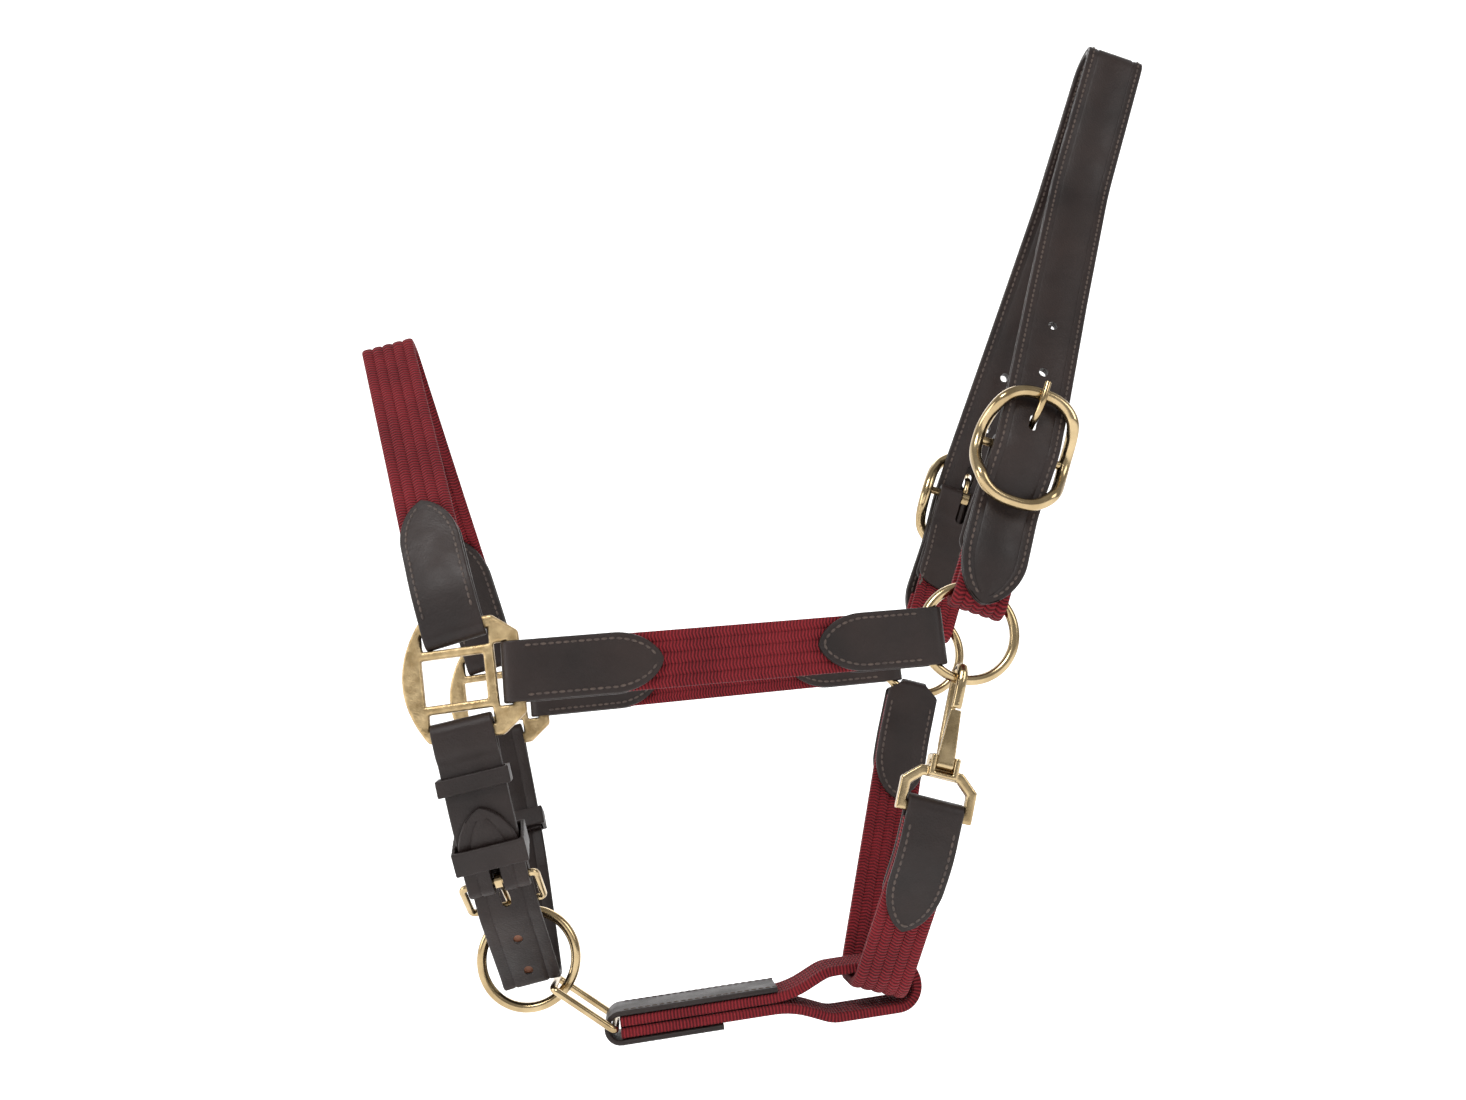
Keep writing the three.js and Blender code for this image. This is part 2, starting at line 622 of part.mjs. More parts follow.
const hookLine = [
  at(59, -44.9),
  at(50, -41.8),
  at(36, -41),
  at(21.5, -41),
  at(16.9, -42.5),
  at(15.4, -46),
  at(16.9, -49.5),
  at(21.5, -51),
  at(33.5, -51),
];
const hook = bentWire(hookLine, 2.2, 22);
const snapBody = cut(join(eyePlate, block, hook), lugGap, pinHole);
piece(throat.group, "snap_body", snapBody, brass);
piece(throat.group, "snap_gate_pin", rod(pivot(-6.6), pivot(6.6), 0.9), brass);
const gatePlate = through(
  [[34.4, -2.2], [56, -3.7], [59, -3.7], [59, 3.7], [56, 3.7], [34.4, 2.2]].map(
    ([s, w]) => new THREE.Vector2(s, w),
  ),
  -52.3,
  -49.9,
);
const boss = rod(pivot(-3.7), pivot(3.7), 2.4, 12);
const gateHole = rod(pivot(-8), pivot(8), 1.25);
piece(throat.group, "snap_gate", cut(join(gatePlate, boss), gateHole), brass);

// ---- jaw strap: from the throat strap to the chin ring, its width across the head ----
const jawWay = JAW_END.clone().sub(JAW_LOOP).normalize();
const jaw = new THREE.Group();
const jawBasis = new THREE.Matrix4().makeBasis(
  new THREE.Vector3(jawWay.x, 0, jawWay.y),
  new THREE.Vector3(jawWay.y, 0, -jawWay.x),
  new THREE.Vector3(0, 1, 0),
);
jaw.quaternion.setFromRotationMatrix(jawBasis);
jaw.position.set(JAW_LOOP.x, 0, JAW_LOOP.y);
headcollar.add(jaw);
const layer = (WEBBING + GAP) / 2;
const loopSide = [
  [JAW_BAR - 8, layer],
  [34, layer, 40],
  [17, 9.7, 16],
  [-22, 9.7, 9.5],
];
const jawLine = route([...loopSide, ...mirrored(loopSide).reverse()]);
piece(jaw, "jaw_webbing", strip(jawLine, WEBBING, WEBBING_WIDTH), burgundy);
const jawHalf = WEBBING + GAP / 2 + GAP + LEATHER / 2;
const jawCentre = [new THREE.Vector2(JAW_BAR - 2.4, 0), new THREE.Vector2(0, 0)];
const jawFold = strip(fold(jawCentre, jawHalf, 44, 69), LEATHER, WEBBING_WIDTH + 0.8);
piece(jaw, "jaw_chape", jawFold, leather);

// Link between the chin ring and the jaw strap.
chin.group.updateMatrixWorld(true);
const linkLeft = chin.group.localToWorld(at(CHIN_RING + 13, 0, 9));
const jawBar = JAW_LOOP.clone().addScaledVector(jawWay, JAW_BAR);
const linkRight = new THREE.Vector3(jawBar.x, 0, jawBar.y);
const linkCorners = [linkLeft, linkRight].flatMap((p, i) => {
  const across = i ? LINK_HALF : -LINK_HALF;
  return [new THREE.Vector3(p.x, across, p.z), new THREE.Vector3(p.x, -across, p.z)];
});
piece(headcollar, "jaw_link", wireLoop(linkCorners, LINK_WIRE), brass);

export default headcollar;
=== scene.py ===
import math

import bmesh
import bpy
from mathutils import Matrix, Vector


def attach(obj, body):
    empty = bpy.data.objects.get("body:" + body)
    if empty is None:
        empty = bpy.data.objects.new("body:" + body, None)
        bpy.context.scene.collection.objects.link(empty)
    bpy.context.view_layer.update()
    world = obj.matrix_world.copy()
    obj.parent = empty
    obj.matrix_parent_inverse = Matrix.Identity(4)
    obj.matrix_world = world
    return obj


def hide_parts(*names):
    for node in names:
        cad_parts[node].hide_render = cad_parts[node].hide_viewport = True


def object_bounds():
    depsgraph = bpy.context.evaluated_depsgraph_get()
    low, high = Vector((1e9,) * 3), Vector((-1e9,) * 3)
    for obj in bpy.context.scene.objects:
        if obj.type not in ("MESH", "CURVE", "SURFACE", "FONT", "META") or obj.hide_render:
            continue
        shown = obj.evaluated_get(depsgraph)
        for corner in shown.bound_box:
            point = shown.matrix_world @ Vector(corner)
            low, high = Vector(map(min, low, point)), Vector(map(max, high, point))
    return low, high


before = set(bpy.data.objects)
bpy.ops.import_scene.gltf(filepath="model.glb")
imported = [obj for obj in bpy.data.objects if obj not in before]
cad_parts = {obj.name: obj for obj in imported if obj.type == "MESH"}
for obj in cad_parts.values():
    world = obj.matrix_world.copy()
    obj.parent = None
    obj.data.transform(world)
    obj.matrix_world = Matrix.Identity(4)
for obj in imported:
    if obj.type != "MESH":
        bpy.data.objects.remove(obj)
cad_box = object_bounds()

MM = 0.001
SIDES = (("near", -1), ("far", 1))

# ---- sizes in millimetres; those of the CAD model's own features match it, unless noted ----
LEATHER = 2.2
LINING = 2.0
WEBBING = 4.4
GAP = 0.3
CROWN_WIDTH = 29
STRAP_WIDTH = 25
WEBBING_WIDTH = 24
HALF_CORE = 2.7
RING_RADIUS = 20.5
# The rings' wire radius, 0.12 mm under the CAD's, so that a turning ring clears its chapes.
RING_SHOWN = 2.18
RING_Y = 46
RING_FOLD = 15.9
RING_THROAT_FOLD = 19.4
SQUARE_Y = 62
RING = Vector((-98.8, -304.4))
SQUARE = Vector((-314.5, -327))
SQUARE_TILT = math.radians(8.3)
SQUARE_BAR = 22
SQUARE_CHEEK_BAR = 23.6
BAR_HALF = 2.1
NOSE_TOP = Vector((-362.8, -164.4))
CHIN_BOTTOM = Vector((-285.5, -455))
THROAT_BOTTOM = Vector((-136, -459))
CROWN_TIP = 308
CROWN_BUCKLE = 235
CROWN_HOLES = (168, 195)
CROWN_TONGUE_HOLE = 221.8
CROWN_HOLE_RADIUS = 2.2
PUNCH_INNER, PUNCH_OUTER = 30, 75
BUCKLE_BAR_Y = 48.2
BUCKLE_END_Y = 57.4
BUCKLE_LENGTH = 25.7
BUCKLE_WIDTH = 20.2
BUCKLE_WIRE = 2.7
CHIN_HEEL = (60, 47)
CHIN_END = (71.5, 31.9)
CHIN_WIRE = 1.5
CHIN_BUCKLE_HALF = 15.2
CHIN_RING = 98.6
CHIN_HOLES = (87, 102)
LINK_WIRE = 1.6
LINK_HALF = 14.6
EYE_BAR = 78
EYE_Y = 48
JAW_LOOP = Vector((-139.5, -457.6))
JAW_END = Vector((-249.3, -472.3))
JAW_BAR = 111
# Where the jaw strap's fold starts. Its webbing is drawn up to here, 5 to 6 mm past the CAD's.
JAW_FOLD = JAW_BAR - 2.4
JAW_LEGS = (44, 69)
JAW_WIDTH = WEBBING_WIDTH + 0.8
BAR_SPARE = 0.7
CORDS = 5
CORD_STEPS = 8
WEFT_PITCH = 1.45

# ---- stitches and pointed ends, in millimetres; the stitches' own sizes are in metres ----
PITCH = 3.1
INSET = 2.5
STITCH_LIFT = 0.02
STITCH_LONG, STITCH_WIDE, STITCH_HIGH = 1.2 * MM, 0.5 * MM, 0.36 * MM
STITCH_SHAPE = ((-1, 0.35), (-0.55, 0.95), (0, 1.1), (0.55, 0.95), (1, 0.35))
STITCH_SIDES = 6
ROW_START = 5.5
ROW_SPARE = 0.3
POINT = 20.0
CROWN_POINT = 23.0
CHIN_POINT = 19.0
FINE_STEP = 0.25

# Pressed lines of a creased strap, (distance from its edge, depth): CREASE_FLAT has the same
# number of points, for a stretch too narrow to be creased.
CREASE = ((5.9, 0.0), (5.1, 0.5), (4.3, 0.16))
CREASE_FLAT = ((0.4, 0.0), (0.3, 0.0), (0.2, 0.0))

# ---- camera, light and floor, in metres ----
CAMERA_PLACE = Vector((-0.2404, -0.5570, -0.3631))
CAMERA_AZIMUTH = math.radians(-4.35)
CAMERA_RISE = math.radians(-10.4)
CAMERA_LENS = 29.47
SENSOR_WIDTH = 36


def make_camera():
    data = bpy.data.cameras.new("camera")
    data.lens = CAMERA_LENS
    data.sensor_width = SENSOR_WIDTH
    camera = bpy.data.objects.new("camera", data)
    azimuth, level = CAMERA_AZIMUTH, math.cos(CAMERA_RISE)
    right = Vector((math.cos(azimuth), math.sin(azimuth), 0))
    back = Vector((math.sin(azimuth) * level, -math.cos(azimuth) * level, math.sin(CAMERA_RISE)))
    up = back.cross(right)
    turn = Matrix((right, up, back)).transposed().to_4x4()
    camera.matrix_world = Matrix.Translation(CAMERA_PLACE) @ turn
    bpy.context.scene.collection.objects.link(camera)
    bpy.context.scene.camera = camera


make_camera()


def area_light(name, place, aim, size, power):
    data = bpy.data.lights.new(name, "AREA")
    data.size = size
    data.energy = power
    lamp = bpy.data.objects.new(name, data)
    lamp.location = place
    lamp.rotation_euler = (Vector(aim) - Vector(place)).to_track_quat("-Z", "Y").to_euler()
    bpy.context.scene.collection.objects.link(lamp)


MIDDLE = (-0.2, 0, -0.25)
WORLD_STRENGTH = 0.42
area_light("key", (-0.8, -1.2, 0.9), MIDDLE, 0.7, 19)
area_light("fill", (0.9, -1.0, 0.3), MIDDLE, 0.7, 6)
area_light("side", (-1.3, -0.2, -0.1), MIDDLE, 0.6, 5)
area_light("back", (0.3, 1.2, 0.9), MIDDLE, 1.0, 8)

world = bpy.data.worlds.new("studio")
bpy.context.scene.world = world
world.use_nodes = True
background = world.node_tree.nodes["Background"].inputs
background["Color"].default_value = (1, 1, 1, 1)
background["Strength"].default_value = WORLD_STRENGTH
bpy.context.scene.view_settings.view_transform = "Standard"


# ---- materials ----
class Nodes:
    """A material's node tree with short ways to add and wire nodes."""

    def __init__(self, name, color, roughness, metallic=0.0):
        self.material = bpy.data.materials.new(name)
        self.material.use_nodes = True
        self.tree = self.material.node_tree
        self.shader = self.tree.nodes["Principled BSDF"]
        self.shader.inputs["Base Color"].default_value = (*color, 1)
        self.shader.inputs["Roughness"].default_value = roughness
        self.shader.inputs["Metallic"].default_value = metallic

    def add(self, kind, inputs=None, **settings):
        node = self.tree.nodes.new(kind)
        for key, value in settings.items():
            setattr(node, key, value)
        for key, value in (inputs or {}).items():
            if hasattr(value, "is_output"):
                self.tree.links.new(value, node.inputs[key])
            else:
                node.inputs[key].default_value = value
        return node

    def math(self, operation, a, b=0.0):
        return self.add("ShaderNodeMath", {0: a, 1: b}, operation=operation).outputs[0]

    def noise(self, scale, detail):
        place = self.add("ShaderNodeTexCoord").outputs["Object"]
        inputs = {"Scale": scale, "Detail": detail, "Vector": place}
        return self.add("ShaderNodeTexNoise", inputs).outputs["Fac"]

    def ramp(self, fac, low, high, low_color, high_color):
        node = self.add("ShaderNodeValToRGB", {"Fac": fac})
        node.color_ramp.elements[0].position = low
        node.color_ramp.elements[0].color = (*low_color, 1)
        node.color_ramp.elements[1].position = high
        node.color_ramp.elements[1].color = (*high_color, 1)
        return node.outputs["Color"]

    def rough(self, fac, low, high):
        inputs = {"Value": fac, "From Min": 0.3, "From Max": 0.7, "To Min": low, "To Max": high}
        value = self.add("ShaderNodeMapRange", inputs).outputs["Result"]
        self.tree.links.new(value, self.shader.inputs["Roughness"])

    def color(self, output):
        self.tree.links.new(output, self.shader.inputs["Base Color"])

    def bump(self, height, strength, distance):
        inputs = {"Height": height, "Strength": strength, "Distance": distance}
        node = self.add("ShaderNodeBump", inputs)
        self.tree.links.new(node.outputs["Normal"], self.shader.inputs["Normal"])


# Scales of the patterns, in repeats per metre.
CLOUD, GRAIN, PORES, DIMPLES, SHINE = 28, 1500, 1100.0, 240, 90
WEFT_WOBBLE, FIBRE, FADE = 220, 2600, 60
METAL_SHINE, TWIST, THREAD_TONE = 160, 3000, 400


def leather_material(name, dark, light):
    """Smooth strap leather: a cloudy tone with fine grain, pores and broad shallow dimples."""
    made = Nodes(name, dark, 0.4)
    made.color(made.ramp(made.noise(CLOUD, 4), 0.35, 0.7, dark, light))
    grain = made.math("MULTIPLY", made.noise(GRAIN, 4), 0.6)
    place = made.add("ShaderNodeTexCoord").outputs["Object"]
    pores = made.add("ShaderNodeTexVoronoi", {"Scale": PORES, "Vector": place}).outputs["Distance"]
    height = made.math("ADD", grain, made.math("MULTIPLY", pores, 0.7))
    height = made.math("ADD", height, made.math("MULTIPLY", made.noise(DIMPLES, 3), 1.6))
    made.bump(height, 0.2, 0.0006)
    made.rough(made.noise(SHINE, 3), 0.43, 0.58)
    made.shader.inputs["Specular IOR Level"].default_value = 0.3
    return made.material


def webbing_material():
    """Ribs along the strap crossed by short weft loops, from its own (across, along) map."""
    made = Nodes("webbing", (0.19, 0.016, 0.022), 0.85)
    place = made.add("ShaderNodeUVMap", uv_map="strap").outputs["UV"]
    split = made.add("ShaderNodeSeparateXYZ", {"Vector": place})
    across, along = split.outputs["X"], split.outputs["Y"]
    rib = made.math("FRACT", made.math("MULTIPLY", across, float(CORDS)))
    slant = made.math("MULTIPLY", made.math("ABSOLUTE", made.math("SUBTRACT", rib, 0.5)), 0.9)
    wobble = made.math("MULTIPLY", made.noise(WEFT_WOBBLE, 2), 0.35)
    turns = made.math("ADD", made.math("MULTIPLY", along, 1000 / WEFT_PITCH), slant)
    weft = made.math("SINE", made.math("MULTIPLY", made.math("ADD", turns, wobble), 2 * math.pi))
    weft = made.math("ADD", made.math("MULTIPLY", weft, 0.5), 0.5)
    height = made.math("ADD", weft, made.math("MULTIPLY", made.noise(FIBRE, 3), 0.35))
    fade = made.math("MULTIPLY", made.noise(FADE, 3), 0.5)
    tone = made.math("ADD", made.math("MULTIPLY", weft, 0.6), fade)
    made.color(made.ramp(tone, 0.22, 0.85, (0.05, 0.0035, 0.006), (0.21, 0.015, 0.02)))
    made.bump(height, 0.8, 0.0007)
    made.shader.inputs["Sheen Weight"].default_value = 0.04
    made.shader.inputs["Sheen Roughness"].default_value = 0.5
    made.shader.inputs["Specular IOR Level"].default_value = 0.15
    return made.material


def metal_material(name, dark, light, low, high, grain, depth, mottle):
    """Brass mottled from dark to light and rough from low to high, with a bumpy grain."""
    made = Nodes(name, light, low, 1.0)
    made.color(made.ramp(made.noise(mottle, 4), 0.35, 0.7, dark, light))
    made.rough(made.noise(METAL_SHINE, 4), low, high)
    made.bump(made.noise(grain, 4), depth, 0.0003)
    return made.material


def thread_material():
    made = Nodes("thread", (0.055, 0.036, 0.028), 0.6)
    made.bump(made.noise(TWIST, 3), 0.4, 0.0002)
    tone = made.noise(THREAD_TONE, 2)
    made.color(made.ramp(tone, 0.3, 0.7, (0.03, 0.019, 0.015), (0.07, 0.047, 0.036)))
    return made.material


LEATHER_LOOK = leather_material("leather", (0.0085, 0.0046, 0.0038), (0.018, 0.0102, 0.0083))
# Paler, unfinished leather inside the chin strap's spare holes.
HOLE_LOOK = leather_material("raw_leather", (0.11, 0.042, 0.022), (0.22, 0.09, 0.05))
WEBBING_LOOK = webbing_material()
BRASS_LOOK = metal_material(
    "brass", (0.33, 0.24, 0.125), (0.52, 0.40, 0.23), 0.14, 0.26, 500, 0.05, 70
)
CAST_LOOK = metal_material(
    "cast_brass", (0.32, 0.225, 0.11), (0.52, 0.39, 0.215), 0.32, 0.5, 700, 0.9, 220
)
THREAD_LOOK = thread_material()
FLOOR_GLOW = 0.52
FLOOR_DROP = 0.02
FLOOR_FRONT = 3.0
SWEEP_START = 0.6
SWEEP_RADIUS = 1.2
SWEEP_STEPS = 24
WALL_TOP = 4.0
FLOOR_HALF = 5.0


def make_floor():
    """A pale floor that curves up into a pale wall behind the headcollar."""
    look = Nodes("floor", (0.95, 0.95, 0.95), 0.9)
    look.shader.inputs["Emission Color"].default_value = (1, 1, 1, 1)
    look.shader.inputs["Emission Strength"].default_value = FLOOR_GLOW
    look.shader.inputs["Specular IOR Level"].default_value = 0.1
    level = cad_box[0][2] - FLOOR_DROP
    line = [(-FLOOR_FRONT, level), (SWEEP_START, level)]
    for k in range(1, SWEEP_STEPS + 1):
        turn = math.pi / 2 * k / SWEEP_STEPS
        y = SWEEP_START + SWEEP_RADIUS * math.sin(turn)
        line.append((y, level + SWEEP_RADIUS * (1 - math.cos(turn))))
    line.append((SWEEP_START + SWEEP_RADIUS, WALL_TOP))
    corners = [(x, y, z) for y, z in line for x in (-FLOOR_HALF, FLOOR_HALF)]
    faces = [(2 * i, 2 * i + 1, 2 * i + 3, 2 * i + 2) for i in range(len(line) - 1)]
    mesh = bpy.data.meshes.new("floor")
    mesh.from_pydata(corners, [], faces)
    mesh.materials.append(look.material)
    mesh.shade_smooth()
    floor = bpy.data.objects.new("floor", mesh)
    bpy.context.scene.collection.objects.link(floor)


make_floor()


# ---- routes: lines of (along, out) points ----
ROOM_SHARE = 0.498
ARC_STEP = 0.1
FOLD_STEPS = 16


def turn_by(v, angle):
    c, s = math.cos(angle), math.sin(angle)
    return Vector((v.x * c - v.y * s, v.x * s + v.y * c))


def cross2(a, b):
    return a.x * b.y - a.y * b.x


def route(corners):
    """A line through corners, each (along, out) or (along, out, radius) if it is rounded."""
    points = []
    for i, (x, y, *rest) in enumerate(corners):
        corner = Vector((x, y))
        if not rest:
            points.append(corner)
            continue
        before = Vector(corners[i - 1][:2]) - corner
        after = Vector(corners[i + 1][:2]) - corner
        room = min(before.length, after.length) * ROOM_SHARE
        before.normalize()
        after.normalize()
        half = math.acos(max(-1, min(1, before.dot(after)))) / 2
        reach = min(rest[0] / math.tan(half), room)
        centre = corner + (before + after).normalized() * (reach / math.cos(half))
        first = corner + before * reach - centre
        last = corner + after * reach - centre
        angle = math.atan2(cross2(first, last), first.dot(last))
        steps = max(4, math.ceil(abs(angle) / ARC_STEP))
        points += [centre + turn_by(first, angle * k / steps) for k in range(steps + 1)]
    return points


def beside(points, distance):
    """A route moved sideways, by one distance or by distance(length along it)."""
    moved = []
    length = 0.0
    for i, p in enumerate(points):
        length += (p - points[i - 1]).length if i else 0
        aside = distance(length) if callable(distance) else distance
        a, b = points[max(0, i - 1)], points[min(len(points) - 1, i + 1)]
        along = (b - a).normalized()
        moved.append(Vector((p.x - along.y * aside, p.y + along.x * aside)))
    return moved


def start(points, length):
    """The first stretch of a route, as long as asked."""
    kept = [points[0]]
    left = length
    for a, b in zip(points, points[1:]):
        step = (b - a).length
        if step >= left:
            kept.append(a.lerp(b, left / step))
            break
        kept.append(b)
        left -= step
    return kept


def dense(points, step):
    """The same route with its points no further apart than a step."""
    more = [points[0]]
    for a, b in zip(points, points[1:]):
        pieces = max(1, math.ceil((b - a).length / step))
        more += [a.lerp(b, k / pieces) for k in range(1, pieces + 1)]
    return more


def fold(points, half, reach, other=None):
    """A strip up one side of a route, round its start and back along the other side."""
    near = beside(start(points, reach), half)
    far = beside(start(points, other or reach), -half)
    along = (points[1] - points[0]).normalized()
    arc = []
    for k in range(1, FOLD_STEPS):
        turn = math.pi * k / FOLD_STEPS
        side = Vector((-along.y, along.x)) * (half * math.cos(turn))
        arc.append(points[0] + side - along * (half * math.sin(turn)))
    return near[::-1] + arc + far


def sided(corners, y):
    """The same corners on the near side (-1) or the far side (1)."""
    return [(along, y * out, *radius) for along, out, *radius in corners]


class Plane:
    """A strap's own axes: u along it, v out of its face and w across it; origin in millimetres."""

    def __init__(self, origin, u, v, w):
        self.origin, self.u, self.v, self.w = origin, u, v, w

    def at(self, along, out, across=0.0):
        return (self.origin + self.u * along + self.v * out + self.w * across) * MM


def plane_towards(origin, heading):
    u = Vector((math.cos(heading), 0, math.sin(heading)))
    w = Vector((-math.sin(heading), 0, math.cos(heading)))
    return Plane(Vector((origin.x, 0, origin.y)), u, Vector((0, 1, 0)), w)


def heading_of(a, b):
    return math.atan2(b.y - a.y, b.x - a.x)


def past(heading, bar_normal):
    """How far past a square's bar a slanted strap's fold starts, so that it clears the bar."""
    slant = abs(math.sin(heading - bar_normal))
    return BAR_HALF + GAP + BAR_SPARE + STRAP_WIDTH / 2 * slant - HALF_CORE


def turned(x, z):
    return turn_by(Vector((x, z)), SQUARE_TILT)


# ---- pieces ----
def shade(mesh):
    mesh.shade_smooth()
    mesh.set_sharp_from_angle(angle=math.radians(42))


def publish(name, mesh, look, body, nodes):
    """Adds a visible piece that rides a body and stands for the CAD nodes it replaces."""
    piece = bpy.data.objects.new("fine_" + name, mesh)
    bpy.context.scene.collection.objects.link(piece)
    if not mesh.materials:
        mesh.materials.append(look)
    shade(mesh)
    if nodes:
        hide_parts(*nodes)
    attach(piece, body)
    return piece


def publish_leather(name, mesh):
    return publish(name, mesh, LEATHER_LOOK, "straps", [name])


def publish_stitches(name, places):
    publish(name + "_stitches", stitch_mesh(places), THREAD_LOOK, "straps", [])


def publish_wire(name, mesh, body, nodes):
    publish(name, mesh, BRASS_LOOK, body, nodes)


def applied(piece):
    """A new mesh of a piece with its modifiers applied."""
    seen = piece.evaluated_get(bpy.context.evaluated_depsgraph_get())
    return bpy.data.meshes.new_from_object(seen)


def leather_section(half, thick, crease=()):
    """A flat strip's outline, (across, out), with rounded edges and pressed lines if it has any."""
    t = thick / 2
    bend = min(t * 0.8, half * 0.6)
    edge = []
    for k in range(7):
        turn = math.pi / 2 * k / 6
        edge.append((half - bend + bend * math.sin(turn), t - bend + bend * math.cos(turn)))
    lines = [(max(0.0, half - inset), t - depth) for inset, depth in crease]
    right_top = [(0.0, t)] + lines + edge
    right = right_top + [(x, -y) for x, y in reversed(right_top)]
    left = [(-x, y) for x, y in reversed(right)][1:-1]
    return right + left


def creased_section(half, thick):
    return leather_section(half, thick, CREASE if half > CREASE[0][0] + 1 else CREASE_FLAT)


def webbing_section(half, thick):
    """Five cords side by side, seen end on, from one edge round to the other."""
    t = thick / 2
    cord = half / CORDS
    outline = []
    for rib in range(CORDS):
        middle = -half + cord * (2 * rib + 1)
        for k in range(CORD_STEPS):
            turn = math.pi * (1 - (k + 0.5) / CORD_STEPS)
            high = t * (0.5 + 0.5 * math.sin(turn) ** 0.75)
            outline.append((middle + cord * 0.995 * math.cos(turn), high))
    return outline + [(-x, -y) for x, y in outline]


def sweep(plane, points, half_at, thick, section):
    """A closed mesh of one section carried along a route, with its (across, along) map."""
    vertices, spots, faces = [], [], []
    length = 0.0
    count = 0
    for i, p in enumerate(points):
        length += (p - points[i - 1]).length if i else 0
        a, b = points[max(0, i - 1)], points[min(len(points) - 1, i + 1)]
        along = (b - a).normalized()
        side = Vector((-along.y, along.x))
        half = half_at(i)
        ring = section(half, thick)
        count = len(ring)
        for across, out in ring:
            q = p + side * out
            vertices.append(plane.at(q.x, q.y, across))
            spots.append((0.5 + across / (2 * max(half, 0.1)), length * MM))
    for i in range(len(points) - 1):
        for k in range(count):
            a = i * count + k
            b = i * count + (k + 1) % count
            faces.append((a, b, b + count, a + count))
    faces.append(tuple(range(count))[::-1])
    last = (len(points) - 1) * count
    faces.append(tuple(range(last, last + count)))
    mesh = bpy.data.meshes.new("strap")
    mesh.from_pydata(vertices, [], faces)
    layer = mesh.uv_layers.new(name="strap")
    for loop in mesh.loops:
        layer.data[loop.index].uv = spots[loop.vertex_index]
    return face_out(mesh)


def face_out(mesh):
    work = bmesh.new()
    work.from_mesh(mesh)
    bmesh.ops.recalc_face_normals(work, faces=work.faces)
    work.to_mesh(mesh)
    work.free()
    return mesh


def steady(width):
    return lambda _: width / 2


def tip_half(width, distance, point=POINT):
    """Half the width at a distance from a pointed end, full from the shoulder on."""
    left = 1 - min(max(distance, 0.02) / point, 1)
    return max(0.12, width / 2 * (1 - left * left) ** 0.62)


def row_half(width, distance, point=POINT):
    """Where a stitched row lies across a pointed end, a little inside its edge."""
    return tip_half(width - 2 * INSET, distance - INSET, point - 1)


def trim(points, limit, way):
    """The stretch of a route that lies before a limit along the strap, cut exactly there."""
    inside = [i for i, p in enumerate(points) if (limit - p.x) * way > 0]
    first, last = inside[0], inside[-1]
    kept = points[first : last + 1]
    for edge, beyond, end in ((first, first - 1, 0), (last, last + 1, len(kept) + 1)):
        if 0 <= beyond < len(points):
            a, b = points[edge], points[beyond]
            kept.insert(end, a.lerp(b, (limit - a.x) / (b.x - a.x)))
    return kept


# ---- stitching ----
def stitch_mesh(places):
    """Short plump stitches, one small lozenge each; places are (centre, along, out) in metres."""
    vertices, faces = [], []
    sides = STITCH_SIDES
    last = len(STITCH_SHAPE) - 1
    for centre, along, out in places:
        across = along.cross(out)
        base = len(vertices)
        for k, fat in STITCH_SHAPE:
            for side in range(sides):
                turn = 2 * math.pi * side / sides
                wide = across * (STITCH_WIDE * fat * math.cos(turn))
                high = out * (STITCH_HIGH * fat * math.sin(turn))
                vertices.append(centre + along * (STITCH_LONG * k) + (wide + high))
        for i in range(last):
            for side in range(sides):
                a = base + i * sides + side
                b = base + i * sides + (side + 1) % sides
                faces.append((a, b, b + sides, a + sides))
        faces.append(tuple(base + side for side in range(sides))[::-1])
        faces.append(tuple(base + last * sides + side for side in range(sides)))
    mesh = bpy.data.meshes.new("stitches")
    mesh.from_pydata(vertices, [], faces)
    return face_out(mesh)


def row_places(plane, points, half_at, side, thick):
    """Stitch places along both edges of a strip's face, half_at(i) from its middle."""
    places = []
    for hand in (-1, 1):
        line = []
        for i, p in enumerate(points):
            a, b = points[max(0, i - 1)], points[min(len(points) - 1, i + 1)]
            along = (b - a).normalized()
            normal = Vector((-along.y, along.x)) * side
            q = p + normal * (thick / 2 + STITCH_LIFT)
            across = half_at(i)
            if across is None:
                continue
            out = (plane.v * normal.y + plane.u * normal.x).normalized()
            line.append((plane.at(q.x, q.y, hand * across), out))
        travelled = 0.0
        for (a, out), (b, _) in zip(line, line[1:]):
            gap = (b - a).length / MM
            while travelled + gap >= PITCH:
                step = PITCH - travelled
                a = a.lerp(b, step / gap) if gap > 1e-6 else a
                gap -= step
                travelled = 0.0
                along = b - a
                if along.length > 1e-9:
                    places.append((a.copy(), along.normalized(), out))
            travelled += gap
    return places


def fine_ends(line):
    """A route whose two ends are stepped finely enough for a rounded point."""
    first, last = dense(line[:6], FINE_STEP), dense(line[-6:], FINE_STEP)
    return first[:-1] + line[5:-5] + last[1:]


